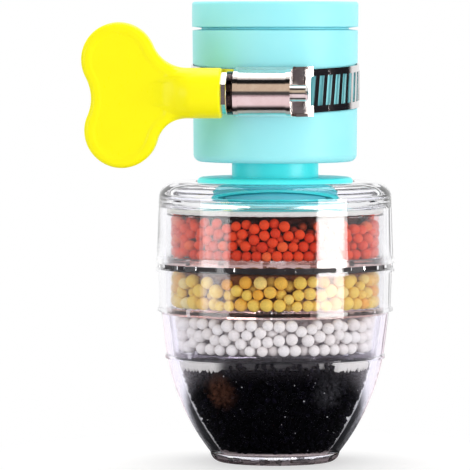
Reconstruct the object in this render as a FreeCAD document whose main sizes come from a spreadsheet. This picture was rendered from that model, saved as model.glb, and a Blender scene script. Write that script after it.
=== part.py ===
import FreeCAD, Part

import math
import os
import re

import Sketcher

# A water filter that hangs from a tap: a soft sleeve with a worm-drive clamp and thumb key, a hard inlet
# connector, and a clear stepped housing that holds three bead beds over a bed of granular carbon.
# The housing's axis is Z, its flat base lies at Z = 0, and the clamp's screw is on the -Y side.

# Driving sizes, in millimetres and degrees
SIZES = {
    # Clear bowl, from the base upwards
    "base_shoulder_radius": 15.7,
    "base_shoulder_level": 2.15,
    "base_edge_run": 1.7,
    "base_edge_round": 2.4,
    "base_wall": 2.2,
    "floor_thickness": 2.9,
    "bowl_side_round": 54.0,
    "cavity_round": 51.5,
    "upper_bore_radius": 26.6,
    "middle_bore_step": 0.5,
    "middle_bore_draft": 1.4,
    "cavity_step": 1.0,
    "lower_wall": 2.5,
    "middle_wall": 1.7,
    "upper_wall": 1.8,
    "upper_wall_draft": 0.25,
    "low_ring_reach": 0.5,
    "low_ring_height": 0.8,
    "low_ring_rise": 0.2,
    "middle_ring_reach": 0.45,
    "middle_ring_height": 0.9,
    "middle_ring_rise": 1.0,
    "bowl_flange_height": 0.6,
    "flange_drop": 1.1,
    "spigot_wall": 0.8,
    "spigot_height": 3.1,
    "outlet_slot_width": 1.8,
    "outlet_slot_start": 4.5,
    "outlet_slot_end": 10.5,
    "outlet_slot_count": 10,
    # Filter stack
    "screen_thickness": 0.4,
    "carbon_depth": 20.1,
    "carbon_rows": 4,
    "carbon_ridge": 0.7,
    "carbon_pad_thickness": 2.0,
    "bed_gap": 0.15,
    "tray_gap": 0.2,
    "tray_wall": 0.85,
    "tray_floor": 1.65,
    "tray_slot_width": 1.6,
    "tray_slot_start": 5.0,
    "tray_slot_end": 20.5,
    "tray_slot_count": 12,
    "white_tray_height": 10.7,
    "white_depth": 8.8,
    "yellow_tray_height": 11.9,
    "yellow_depth": 8.5,
    "red_tray_height": 12.0,
    "red_depth": 10.2,
    "bead_rows": 4,
    "ridge_share": 0.35,
    "bead_flutes": 31,
    "carbon_flutes": 23,
    "flute_angle": 2.4,
    "flute_depth": 1.1,
    "top_pad_thickness": 1.6,
    # Clear top cover
    "headspace": 2.3,
    "lid_thickness": 2.5,
    "recess_depth": 1.6,
    "recess_gap": 0.4,
    "shoulder_run": 4.2,
    "shoulder_drop": 3.4,
    "shoulder_round": 4.3,
    "cover_step": 0.25,
    "cover_draft": 0.55,
    "ceiling_run": 4.0,
    "ceiling_drop": 2.2,
    "ceiling_round": 4.2,
    "skirt_gap": 0.1,
    "skirt_wall": 1.1,
    "flange_reach": 0.4,
    "window_band_height": 1.4,
    "window_height": 1.1,
    "long_window": 6.0,
    "short_window": 2.5,
    "window_spacing": 6.3,
    "window_count": 12,
    "cover_ring_height": 1.0,
    "spigot_end_gap": 0.1,
    "seal_lip": 0.6,
    "seal_clearance": 0.05,
    "seal_head_gap": 0.1,
    # Inlet connector and its seals
    "water_bore_radius": 5.0,
    "tail_radius": 10.4,
    "swivel_clearance": 0.08,
    "swivel_end_gap": 0.1,
    "tail_overhang": 0.1,
    "nut_width": 1.9,
    "nut_thickness": 1.9,
    "nut_notch_width": 2.4,
    "nut_notch_depth": 1.0,
    "nut_notch_count": 6,
    "seal_cord_radius": 0.75,
    "seal_groove_height": 1.7,
    "seal_groove_depth": 1.5,
    "inlet_flange_radius": 18.9,
    "inlet_flange_height": 2.5,
    "inlet_flange_round": 1.2,
    "neck_step": 0.1,
    "neck_exposed": 3.8,
    "neck_in_sleeve": 5.4,
    "head_lip": 2.4,
    "head_height": 4.0,
    "head_gap": 0.1,
    "tap_seal_height": 2.2,
    "tap_seal_bore": 5.5,
    # Soft sleeve
    "sleeve_radius": 20.05,
    "sleeve_draft": 0.25,
    "collar_reach": 0.1,
    "sleeve_height": 38.7,
    "sleeve_foot_round": 1.8,
    "sleeve_top_round": 0.7,
    "collar_height": 6.5,
    "collar_slit_depth": 2.2,
    "collar_slit_height": 0.35,
    "collar_slit_mouth": 0.9,
    "tap_bore_radius": 8.5,
    "tap_bore_lead": 1.0,
    # Clamp band: it runs once round the sleeve and its slotted end passes over its plain end
    "clamp_height": 91.2,
    "clamp_tilt": 3.3,
    "band_press": 0.15,
    "band_thickness": 0.5,
    "band_width": 10.4,
    "band_clearance": 0.35,
    "seat_side_clearance": 0.25,
    "band_plain_end": 12.0,
    "band_ramp_start": 44.0,
    "band_ramp_end": 30.5,
    "band_tail_end": 20.0,
    "slot_margin": 1.65,
    "slot_width": 1.5,
    "slots_under_screw": 4,
    "slots_round_sleeve": 18,
    # Clamp housing
    "saddle_thickness": 0.5,
    "saddle_gap": 0.05,
    "tail_gap": 0.1,
    "housing_left": 7.2,
    "housing_right": 6.4,
    "worm_room": 0.65,
    "housing_wall": 0.65,
    "rim_height": 0.25,
    "rim_width": 1.1,
    "end_wall": 0.6,
    "leg_clearance": 0.1,
    "leg_flare_drop": 2.4,
    "leg_flare_run": 0.8,
    "saddle_left_angle": 17.0,
    "saddle_right_angle": 29.0,
    "lug_start_angle": 18.0,
    "lug_height": 1.7,
    "leg_reach_in": 2.0,
    "lug_side_room": 1.0,
    # Worm screw
    "worm_radius": 4.2,
    "thread_depth": 1.0,
    "thread_end_gap": 1.15,
    "thread_root_sink": 0.1,
    "worm_pitch": 2.8,
    "worm_crest_width": 0.8,
    "worm_foot_width": 1.5,
    "worm_band_gap": 0.1,
    "journal_step": 0.1,
    "pilot_radius": 1.95,
    "pilot_reach": 3.9,
    "pilot_chamfer": 0.5,
    "journal_clearance": 0.08,
    "washer_gap": 0.15,
    "washer_inset": 0.35,
    "washer_height": 1.65,
    "washer_round": 0.3,
    "hex_across_flats": 8.4,
    "hex_length": 5.2,
    # Thumb key
    "key_mouth_gap": 1.2,
    "socket_clearance": 0.05,
    "key_wall": 1.09,
    "key_barrel_length": 17.3,
    "key_barrel_nose": 7.0,
    "key_edge_round": 0.6,
    "wing_start": 9.8,
    "wing_root": 4.0,
    "wing_root_sink": 0.8,
    "wing_droop": 2.0,
    "wing_thickness": 4.6,
    "wing_edge_round": 1.4,
    "lobe_reach": 14.5,
    "lobe_offset": 8.45,
    "lobe_radius": 8.85,
    "wing_notch_round": 10.1,
    "flare_angle": 52.0,
    "flare_round": 4.0,
}

# Levels and places that follow from the driving sizes
DERIVED = {
    "base_flat_radius": "base_shoulder_radius - base_edge_run",
    "floor_radius": "base_shoulder_radius - base_wall",
    "middle_bore_head": "upper_bore_radius - middle_bore_step",
    "middle_bore_foot": "middle_bore_head - middle_bore_draft",
    "cavity_mouth_radius": "middle_bore_foot - cavity_step",
    "lower_wall_radius": "cavity_mouth_radius + lower_wall",
    "low_ring_radius": "lower_wall_radius + low_ring_reach",
    "middle_wall_foot": "middle_bore_foot + middle_wall",
    "middle_wall_head": "middle_bore_head + middle_wall",
    "upper_wall_head": "upper_bore_radius + upper_wall",
    "upper_wall_foot": "upper_wall_head - upper_wall_draft",
    "middle_ring_radius": "upper_wall_foot + middle_ring_reach",
    "spigot_radius": "upper_bore_radius + spigot_wall",
    "skirt_inner_radius": "spigot_radius + skirt_gap",
    "skirt_outer_radius": "skirt_inner_radius + skirt_wall",
    "flange_radius": "skirt_outer_radius + flange_reach",
    "cover_foot_radius": "flange_radius - cover_step",
    "cover_head_radius": "cover_foot_radius - cover_draft",
    "plateau_radius": "cover_head_radius - shoulder_run",
    "recess_radius": "inlet_flange_radius + recess_gap",
    "ceiling_radius": "upper_bore_radius - ceiling_run",
    "carbon_level": "floor_thickness + screen_thickness",
    "carbon_top": "carbon_level + carbon_depth",
    "white_level": "carbon_top + carbon_pad_thickness",
    "cavity_run": "cavity_mouth_radius - floor_radius",
    "cavity_rise": "white_level - floor_thickness",
    "cavity_chord": "sqrt(cavity_run^2 + cavity_rise^2)",
    "cavity_back": "sqrt(cavity_round^2 - cavity_chord^2 / 4)",
    "cavity_centre_radius": "floor_radius + cavity_run / 2 - cavity_back * cavity_rise / cavity_chord",
    "cavity_centre_level": "floor_thickness + cavity_rise / 2 + cavity_back * cavity_run / cavity_chord",
    "yellow_level": "white_level + white_tray_height",
    "red_level": "yellow_level + yellow_tray_height",
    "top_pad_level": "red_level + red_tray_height",
    "ceiling_level": "top_pad_level + top_pad_thickness + headspace",
    "recess_level": "ceiling_level + lid_thickness",
    "plateau_level": "recess_level + recess_depth",
    "flange_level": "red_level - flange_drop",
    "spigot_top": "flange_level + spigot_height",
    "cover_ledge_level": "spigot_top + spigot_end_gap",
    "seal_room_radius": "skirt_outer_radius - seal_lip",
    "cover_ring_level": "flange_level + window_band_height",
    "upper_tray_radius": "upper_bore_radius - tray_gap",
    "nut_radius": "tail_radius + nut_width",
    "neck_radius": "tail_radius + neck_step",
    "head_radius": "neck_radius + head_lip",
    "nut_top": "ceiling_level - swivel_end_gap",
    "nut_level": "nut_top - nut_thickness",
    "tail_level": "nut_level - tail_overhang",
    "inlet_level": "recess_level + swivel_end_gap",
    "inlet_top": "inlet_level + inlet_flange_height",
    "seal_middle": "ceiling_level + lid_thickness / 2",
    "cover_hole_radius": "tail_radius + swivel_clearance",
    "sleeve_foot": "inlet_top + neck_exposed",
    "head_level": "sleeve_foot + neck_in_sleeve",
    "head_top": "head_level + head_height",
    "tap_seal_top": "head_top + tap_seal_height",
    "sleeve_top": "sleeve_foot + sleeve_height",
    "slit_level": "sleeve_top - collar_height",
    "pocket_radius": "head_radius + head_gap",
    "sleeve_foot_radius": "sleeve_radius - sleeve_draft",
    "collar_radius": "sleeve_radius + collar_reach",
    "band_inner_radius": "sleeve_radius - band_press",
    "band_seat_radius": "band_inner_radius - band_clearance",
    "band_outer_radius": "band_inner_radius + band_thickness",
    "saddle_radius": "band_outer_radius + saddle_gap",
    "saddle_top_radius": "saddle_radius + saddle_thickness",
    "tail_inner_radius": "saddle_top_radius + tail_gap",
    "tail_outer_radius": "tail_inner_radius + band_thickness",
    "screw_offset": "tail_outer_radius + worm_band_gap + worm_radius",
    "slot_height": "band_width - 2 * slot_margin",
    "slot_angle": "worm_pitch / tail_outer_radius * 180 / pi",
    "slot_shift": "slot_height / 2 * worm_pitch / (2 * pi * worm_radius)",
    "leg_inner": "band_width / 2 + leg_clearance",
    "leg_outer": "leg_inner + housing_wall",
    "housing_radius": "worm_radius + worm_room + housing_wall",
    "worm_root_radius": "worm_radius - thread_depth",
    "worm_start": "housing_left - end_wall - washer_gap",
    "worm_end": "housing_right - end_wall - washer_gap",
    "worm_turns": "(worm_start + worm_end - 2 * thread_end_gap) / worm_pitch",
    "journal_radius": "worm_root_radius + journal_step",
    "pilot_end": "housing_right + pilot_reach",
    "washer_radius": "housing_radius - washer_inset",
    "washer_right": "housing_left + washer_gap",
    "washer_left": "washer_right + washer_height",
    "hex_end": "washer_left + hex_length",
    "hex_corner": "hex_across_flats / 2 / cos(30)",
    "key_mouth": "washer_left + key_mouth_gap",
    "socket_corner": "(hex_across_flats / 2 + socket_clearance) / cos(30)",
    "key_barrel_radius": "socket_corner + key_wall",
    "wing_origin": "key_mouth + wing_start",
    "notch_run": "sqrt((lobe_radius + wing_notch_round)^2 - lobe_offset^2)",
}

doc = FreeCAD.newDocument("faucet_mount_water_filter")
sheet = doc.addObject("Spreadsheet::Sheet", "Sizes")


def fill_sheet():
    """Write each size and each derived place to its own cell, under its name."""
    for row, (name, content) in enumerate([*SIZES.items(), *DERIVED.items()], start=1):
        cell = f"B{row}"
        sheet.set(f"A{row}", name)
        sheet.set(cell, f"={content}" if name in DERIVED else str(content))
        sheet.setAlias(cell, name)
    doc.recompute()


def bound(text):
    """Turn the sheet's names in an expression into references to the sheet."""
    known = lambda found: f"Sizes.{found[0]}" if found[0] in SIZES or found[0] in DERIVED else found[0]
    return re.sub(r"[a-z_]+", known, text)


def value(text):
    """Work out an expression of the sheet's names."""
    return float(sheet.evalExpression(text))


# Sketches


def origin_plane(body, role):
    """Find one of a body's own origin planes or axes."""
    return next(f for f in body.Origin.OriginFeatures if f.Role == role)


def new_sketch(body, name, plane, offset="0"):
    """Add a sketch on an origin plane, moved along the plane's normal."""
    sketch = body.newObject("Sketcher::SketchObject", name)
    sketch.AttachmentSupport = [(origin_plane(body, plane), "")]
    sketch.MapMode = "FlatFace"
    if offset != "0":
        sketch.setExpression("AttachmentOffset.Base.z", bound(offset))
    return sketch


def pin_point(sketch, geometry, end, x, y):
    """Hold one point of a sketch at the place that two expressions give."""
    for kind, text, axis in (("DistanceX", x, -2), ("DistanceY", y, -1)):
        if text == "0":
            sketch.addConstraint(Sketcher.Constraint("PointOnObject", geometry, end, axis))
            continue
        held = Sketcher.Constraint(kind, -1, 1, geometry, end, value(text))
        index = sketch.addConstraint(held)
        sketch.setExpression(f"Constraints[{index}]", bound(text))


def arc_between(start, end, centre):
    """Make the short arc round a centre, and say which of its ends is the start."""
    radius = (start - centre).Length
    angles = [math.atan2(p.y - centre.y, p.x - centre.x) for p in (start, end)]
    forward = (start - centre).cross(end - centre).z > 0
    first, last = angles if forward else reversed(angles)
    circle = Part.Circle(centre, FreeCAD.Vector(0, 0, 1), radius)
    return Part.ArcOfCircle(circle, first, last), (1, 2) if forward else (2, 1)


def bulge_centre(start, end, radius):
    """Centre of the arc from start to end: a positive radius bows to the right of the way from start to end."""
    chord = end - start
    across = FreeCAD.Vector(-chord.y, chord.x, 0).normalize()
    rise = math.sqrt(radius**2 - chord.Length**2 / 4)
    return (start + end) * 0.5 + across * math.copysign(rise, radius)


def draw_outline(sketch, corners):
    """Draw a closed outline. A corner is (x, y), with {"round": r} for a fillet, or {"bow": r} where an
    arc of that radius runs on to the next corner."""
    points = [FreeCAD.Vector(value(c[0]), value(c[1]), 0) for c in corners]
    extras = [c[2] if len(c) > 2 else {} for c in corners]
    count = len(corners)
    starts, ends = list(points), [points[(i + 1) % count] for i in range(count)]
    fillets = {}
    for i, extra in enumerate(extras):
        if "round" not in extra:
            continue
        radius = value(extra["round"])
        back = (points[i - 1] - points[i]).normalize()
        on = (points[(i + 1) % count] - points[i]).normalize()
        half = back.getAngle(on) / 2
        reach = radius / math.tan(half)
        ends[i - 1] = points[i] + back * reach
        starts[i] = points[i] + on * reach
        centre = points[i] + (back + on).normalize() * (radius / math.sin(half))
        fillets[i] = arc_between(ends[i - 1], starts[i], centre)
    edges = []
    for i, extra in enumerate(extras):
        if "bow" in extra:
            centre = bulge_centre(starts[i], ends[i], value(extra["bow"]))
            shape, order = arc_between(starts[i], ends[i], centre)
        else:
            shape, order = Part.LineSegment(starts[i], ends[i]), (1, 2)
        edges.append((sketch.addGeometry(shape, False), order))
    for i, extra in enumerate(extras):
        this, order = edges[i]
        before, order_before = edges[i - 1]
        if i in fillets:
            shape, fillet_order = fillets[i]
            fillet = sketch.addGeometry(shape, False)
            corner = sketch.addGeometry(Part.Point(points[i]), True)
            joined = Sketcher.Constraint("Tangent", before, order_before[1], fillet, fillet_order[0])
            sketch.addConstraint(joined)
            joined = Sketcher.Constraint("Tangent", fillet, fillet_order[1], this, order[0])
            sketch.addConstraint(joined)
            index = sketch.addConstraint(Sketcher.Constraint("Radius", fillet, value(extra["round"])))
            sketch.setExpression(f"Constraints[{index}]", bound(extra["round"]))
            sketch.addConstraint(Sketcher.Constraint("PointOnObject", corner, 1, before))
            sketch.addConstraint(Sketcher.Constraint("PointOnObject", corner, 1, this))
            pin_point(sketch, corner, 1, corners[i][0], corners[i][1])
        else:
            joined = Sketcher.Constraint("Coincident", before, order_before[1], this, order[0])
            sketch.addConstraint(joined)
            pin_point(sketch, this, order[0], corners[i][0], corners[i][1])
        if "bow" in extra:
            index = sketch.addConstraint(Sketcher.Constraint("Radius", this, abs(value(extra["bow"]))))
            sketch.setExpression(f"Constraints[{index}]", bound(f"abs({extra['bow']})"))
    return sketch


def draw_circle(sketch, radius, x="0", y="0"):
    """Draw a circle whose centre and radius come from the sheet."""
    centre = FreeCAD.Vector(value(x), value(y), 0)
    circle = Part.Circle(centre, FreeCAD.Vector(0, 0, 1), value(radius))
    geometry = sketch.addGeometry(circle, False)
    pin_point(sketch, geometry, 3, x, y)
    index = sketch.addConstraint(Sketcher.Constraint("Radius", geometry, value(radius)))
    sketch.setExpression(f"Constraints[{index}]", bound(radius))


# Features


def new_body(label):
    """Start a body that will become one piece."""
    body = doc.addObject("PartDesign::Body", label)
    body.Label = label
    return body


def revolve(body, name, corners, axis="V_Axis", plane="XZ_Plane", offset="0", cut=False):
    """Turn an outline about its sketch's axis."""
    sketch = draw_outline(new_sketch(body, f"{name}_outline", plane, offset), corners)
    kind = "PartDesign::Groove" if cut else "PartDesign::Revolution"
    feature = body.newObject(kind, name)
    feature.Profile = sketch
    feature.ReferenceAxis = (sketch, [axis])
    feature.Angle = 360
    sketch.Visibility = False
    return feature


def extrude(body, name, sketch, length, symmetric=False, backwards=False, cut=False):
    """Pad or pocket a sketch."""
    feature = body.newObject("PartDesign::Pocket" if cut else "PartDesign::Pad", name)
    feature.Profile = sketch
    feature.setExpression("Length", bound(length))
    feature.SideType = "Symmetric" if symmetric else "One side"
    feature.Reversed = backwards
    sketch.Visibility = False
    return feature


def repeat_round(body, name, feature, count, angle="360"):
    """Repeat a feature round the body's Z axis."""
    pattern = body.newObject("PartDesign::PolarPattern", name)
    pattern.Originals = [feature]
    pattern.Axis = (origin_plane(body, "Z_Axis"), [""])
    pattern.setExpression("Angle", bound(angle))
    pattern.setExpression("Occurrences", bound(count))
    body.Tip = pattern
    return pattern


def disc(label, radius, level, height):
    """A plain round slab."""
    piece = doc.addObject("Part::Cylinder", label)
    piece.setExpression("Radius", bound(radius))
    piece.setExpression("Height", bound(height))
    piece.setExpression("Placement.Base.z", bound(level))
    return piece


def ring(label, outer, inner, level, height):
    """A flat ring: a disc less its bore."""
    piece = doc.addObject("Part::Cut", label)
    piece.Base = disc(f"{label}_outside", outer, level, height)
    piece.Tool = disc(f"{label}_inside", inner, level, height)
    return piece


def on_clamp(piece):
    """Tip a piece that is drawn round the band's centre to the clamp's place on the sleeve."""
    piece.Placement = FreeCAD.Placement(FreeCAD.Vector(), FreeCAD.Rotation(FreeCAD.Vector(1, 0, 0), 1))
    piece.setExpression("Placement.Rotation.Angle", bound("clamp_tilt"))
    piece.setExpression("Placement.Base.z", bound("clamp_height"))
    return piece


# Clear housing


def make_bowl():
    """The clear bowl: a thick base, a curved side, two ledges that hold the trays, two ring lines outside,
    and a flange and spigot that take the cover."""
    low_ring_foot = "white_level + low_ring_rise - low_ring_height / 2"
    low_ring_head = "white_level + low_ring_rise + low_ring_height / 2"
    middle_ring_foot = "yellow_level + middle_ring_rise - middle_ring_height / 2"
    middle_ring_head = "yellow_level + middle_ring_rise + middle_ring_height / 2"
    body = new_body("bowl")
    revolve(body, "bowl_wall", [
        ("0", "0"),
        ("base_flat_radius", "0", {"bow": "base_edge_round"}),
        ("base_shoulder_radius", "base_shoulder_level", {"bow": "bowl_side_round"}),
        ("lower_wall_radius", low_ring_foot),
        ("low_ring_radius", low_ring_foot),
        ("low_ring_radius", low_ring_head),
        ("middle_wall_foot", low_ring_head),
        ("middle_wall_head", middle_ring_foot),
        ("middle_ring_radius", middle_ring_foot),
        ("middle_ring_radius", middle_ring_head),
        ("upper_wall_foot", middle_ring_head),
        ("upper_wall_head", "flange_level - bowl_flange_height"),
        ("flange_radius", "flange_level - bowl_flange_height"),
        ("flange_radius", "flange_level"),
        ("spigot_radius", "flange_level"),
        ("spigot_radius", "spigot_top"),
        ("upper_bore_radius", "spigot_top"),
        ("upper_bore_radius", "yellow_level"),
        ("middle_bore_head", "yellow_level"),
        ("middle_bore_foot", "white_level"),
        ("cavity_mouth_radius", "white_level", {"bow": "-cavity_round"}),
        ("floor_radius", "floor_thickness"),
        ("0", "floor_thickness"),
    ])
    sketch = draw_outline(new_sketch(body, "outlet_slot", "XY_Plane"), [
        ("outlet_slot_start", "-outlet_slot_width / 2"),
        ("outlet_slot_end", "-outlet_slot_width / 2"),
        ("outlet_slot_end", "outlet_slot_width / 2"),
        ("outlet_slot_start", "outlet_slot_width / 2"),
    ])
    slot = extrude(body, "outlet", sketch, "floor_thickness", backwards=True, cut=True)
    repeat_round(body, "outlets", slot, "outlet_slot_count")
    return body


def make_top_cover():
    """The clear cover: a shouldered lid sunk round the inlet flange, a ring, and a skirt whose windows show
    the dark seal behind it."""
    body = new_body("top_cover")
    cover_ring_top = "cover_ring_level + cover_ring_height"
    revolve(body, "cover_wall", [
        ("seal_room_radius", "flange_level"),
        ("skirt_outer_radius", "flange_level"),
        ("skirt_outer_radius", "cover_ring_level"),
        ("flange_radius", "cover_ring_level"),
        ("flange_radius", cover_ring_top),
        ("cover_foot_radius", cover_ring_top),
        ("cover_head_radius", "plateau_level - shoulder_drop", {"bow": "shoulder_round"}),
        ("plateau_radius", "plateau_level"),
        ("recess_radius", "plateau_level"),
        ("recess_radius", "recess_level"),
        ("cover_hole_radius", "recess_level"),
        ("cover_hole_radius", "ceiling_level"),
        ("ceiling_radius", "ceiling_level", {"bow": "-ceiling_round"}),
        ("upper_bore_radius", "ceiling_level - ceiling_drop"),
        ("upper_bore_radius", "cover_ledge_level"),
        ("skirt_inner_radius", "cover_ledge_level"),
        ("skirt_inner_radius", "cover_ring_level"),
        ("seal_room_radius", "cover_ring_level"),
    ])
    window_low = "cover_ring_level - window_height"
    for name, middle, width in (("long", "0", "long_window"), ("short", "window_spacing", "short_window")):
        sketch = draw_outline(new_sketch(body, f"{name}_window_outline", "XZ_Plane"), [
            (f"{middle} - {width} / 2", window_low),
            (f"{middle} + {width} / 2", window_low),
            (f"{middle} + {width} / 2", "cover_ring_level"),
            (f"{middle} - {width} / 2", "cover_ring_level"),
        ])
        window = extrude(body, f"{name}_window", sketch, "flange_radius", backwards=True, cut=True)
        repeat_round(body, f"{name}_windows", window, "window_count")
    return body


# Filter stack


def make_tray(label, level, height, foot_radius, head_radius):
    """A clear tray with a slotted floor."""
    body = new_body(label)
    revolve(body, f"{label}_wall", [
        ("0", level),
        (foot_radius, level),
        (head_radius, f"{level} + {height}"),
        (f"{head_radius} - tray_wall", f"{level} + {height}"),
        (f"{foot_radius} - tray_wall", f"{level} + tray_floor"),
        ("0", f"{level} + tray_floor"),
    ])
    sketch = draw_outline(new_sketch(body, f"{label}_slot_outline", "XY_Plane", level), [
        ("tray_slot_start", "-tray_slot_width / 2"),
        ("tray_slot_end", "-tray_slot_width / 2"),
        ("tray_slot_end", "tray_slot_width / 2"),
        ("tray_slot_start", "tray_slot_width / 2"),
    ])
    slot = extrude(body, f"{label}_slot", sketch, "tray_floor", backwards=True, cut=True)
    repeat_round(body, f"{label}_slots", slot, "tray_slot_count")
    return body


def cut_flutes(body, label, outline, count):
    """Part the ridges of a bed into lumps: narrow grooves from top to bottom, all round."""
    flute = revolve(body, f"{label}_flute", outline, cut=True)
    flute.setExpression("Angle", bound("flute_angle"))
    repeat_round(body, f"{label}_flutes", flute, count)


def make_bead_bed(label, level, depth, foot_radius, head_radius):
    """A bed of beads, as one solid with a rounded ridge for each row and flutes that part it into lumps."""
    body = new_body(label)
    rows = round(value("bead_rows"))
    low, high = f"{level} + tray_floor", f"{level} + tray_floor + {depth}"
    pitch = f"({depth} / bead_rows)"
    ridge = f"(ridge_share * {pitch})"
    bow = f"({pitch}^2 / 4 + {ridge}^2) / (2 * {ridge})"
    foot, head = f"({foot_radius} - tray_wall - bed_gap)", f"({head_radius} - tray_wall - bed_gap)"
    outline = [("0", low)]
    for row in range(rows + 1):
        radius = f"{foot} + ({head} - {foot}) * {row} / bead_rows - {ridge}"
        outline.append((radius, f"{low} + {pitch} * {row}", *([{"bow": bow}] if row < rows else [])))
    outline.append(("0", high))
    revolve(body, f"{label}_rows", outline)
    cut_flutes(body, label, [
        (f"{foot} - flute_depth", low),
        (f"{foot} + flute_depth", low),
        (f"{head} + flute_depth", high),
        (f"{head} - flute_depth", high),
    ], "bead_flutes")
    return body


def make_carbon_bed():
    """The carbon, as one solid that follows the bowl's cavity, with ridges and flutes for its grains."""
    body = new_body("carbon_bed")
    rows = round(value("carbon_rows"))
    levels = [f"(carbon_level + carbon_depth * {row} / carbon_rows)" for row in range(rows + 1)]
    walls = [
        f"(cavity_centre_radius - bed_gap + sqrt(cavity_round^2 - ({place} - cavity_centre_level)^2))"
        for place in levels
    ]
    outline = [("0", levels[0])]
    for row in range(rows):
        span = f"(({walls[row + 1]} - {walls[row]})^2 + ({levels[row + 1]} - {levels[row]})^2)"
        bow = f"({span} / 4 + carbon_ridge^2) / (2 * carbon_ridge)"
        outline.append((f"{walls[row]} - carbon_ridge", levels[row], {"bow": bow}))
    outline += [(f"{walls[-1]} - carbon_ridge", levels[-1]), ("0", levels[-1])]
    revolve(body, "carbon_rows_form", outline)
    cut_flutes(body, "carbon", [
        (f"{walls[0]} - flute_depth", levels[0]),
        (f"{walls[0]} + flute_depth", levels[0], {"bow": "cavity_round"}),
        (f"{walls[-1]} + flute_depth", levels[-1]),
        (f"{walls[-1]} - flute_depth", levels[-1], {"bow": "-cavity_round"}),
    ], "carbon_flutes")
    return body


def make_filling(label, level, height):
    """A layer that fills the bowl's lower cavity between two levels."""
    body = new_body(f"{label}_cavity")
    revolve(body, f"{label}_cavity_form", [
        ("0", "floor_thickness"),
        ("floor_radius - bed_gap", "floor_thickness", {"bow": "cavity_round"}),
        ("cavity_mouth_radius - bed_gap", "white_level"),
        ("0", "white_level"),
    ])
    layer = doc.addObject("Part::Common", label)
    layer.Base = body
    layer.Tool = disc(f"{label}_slab", "flange_radius", level, height)
    return layer


# Inlet connector


def make_connector():
    """The hard inlet: head in the sleeve, neck, bull-nosed flange, and a grooved tail through the cover."""
    groove_low = "seal_middle - seal_groove_height / 2"
    groove_high = "seal_middle + seal_groove_height / 2"
    body = new_body("connector")
    revolve(body, "connector_form", [
        ("water_bore_radius", "tail_level"),
        ("tail_radius", "tail_level"),
        ("tail_radius", groove_low),
        ("tail_radius - seal_groove_depth", groove_low),
        ("tail_radius - seal_groove_depth", groove_high),
        ("tail_radius", groove_high),
        ("tail_radius", "inlet_level"),
        ("inlet_flange_radius", "inlet_level", {"round": "inlet_flange_round"}),
        ("inlet_flange_radius", "inlet_top", {"round": "inlet_flange_round"}),
        ("neck_radius", "inlet_top"),
        ("neck_radius", "head_level"),
        ("head_radius", "head_level"),
        ("head_radius", "head_top"),
        ("water_bore_radius", "head_top"),
    ])
    return body


def make_connector_nut():
    """The ring nut that holds the connector under the cover, with notches for a pin spanner."""
    body = new_body("connector_nut")
    revolve(body, "nut_form", [
        ("tail_radius", "nut_level"),
        ("nut_radius", "nut_level"),
        ("nut_radius", "nut_top"),
        ("tail_radius", "nut_top"),
    ])
    sketch = draw_outline(new_sketch(body, "notch_outline", "XY_Plane", "nut_level"), [
        ("nut_radius - nut_notch_depth", "-nut_notch_width / 2"),
        ("nut_radius + nut_notch_depth", "-nut_notch_width / 2"),
        ("nut_radius + nut_notch_depth", "nut_notch_width / 2"),
        ("nut_radius - nut_notch_depth", "nut_notch_width / 2"),
    ])
    notch = extrude(body, "notch", sketch, "nut_thickness", backwards=True, cut=True)
    repeat_round(body, "notches", notch, "nut_notch_count")
    return body


def make_connector_seal():
    """The ring seal in the tail's groove."""
    seal = doc.addObject("Part::Torus", "connector_seal")
    seal.setExpression("Radius1", bound("tail_radius - seal_cord_radius + swivel_clearance / 2"))
    seal.setExpression("Radius2", bound("seal_cord_radius"))
    seal.setExpression("Placement.Base.z", bound("seal_middle"))
    return seal


# Soft sleeve


def make_sleeve():
    """The soft sleeve: a tap bore above, a pocket for the connector's head below, a slit under its collar,
    and the tilted seat that the band presses into it."""
    body = new_body("sleeve_form")
    revolve(body, "sleeve_wall", [
        ("neck_radius", "sleeve_foot"),
        ("sleeve_foot_radius", "sleeve_foot", {"round": "sleeve_foot_round"}),
        ("sleeve_radius", "slit_level - collar_slit_mouth / 2"),
        ("sleeve_radius - collar_slit_depth", "slit_level - collar_slit_height / 2"),
        ("sleeve_radius - collar_slit_depth", "slit_level + collar_slit_height / 2"),
        ("collar_radius", "slit_level + collar_slit_mouth / 2"),
        ("collar_radius", "sleeve_top", {"round": "sleeve_top_round"}),
        ("tap_bore_radius + tap_bore_lead", "sleeve_top"),
        ("tap_bore_radius", "sleeve_top - tap_bore_lead"),
        ("tap_bore_radius", "tap_seal_top"),
        ("pocket_radius", "tap_seal_top"),
        ("pocket_radius", "head_level"),
        ("neck_radius", "head_level"),
    ])
    seat_width = "band_width + 2 * seat_side_clearance"
    seat = ring("band_seat", "flange_radius", "band_seat_radius", f"-({seat_width}) / 2", seat_width)
    sleeve = doc.addObject("Part::Cut", "sleeve")
    sleeve.Base = body
    sleeve.Tool = on_clamp(seat)
    return sleeve


# Worm-drive clamp


def polar(radius, angle):
    """A place on the band: the angle runs from the front towards +X."""
    return f"({radius}) * sin({angle})", f"-({radius}) * cos({angle})"


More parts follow.
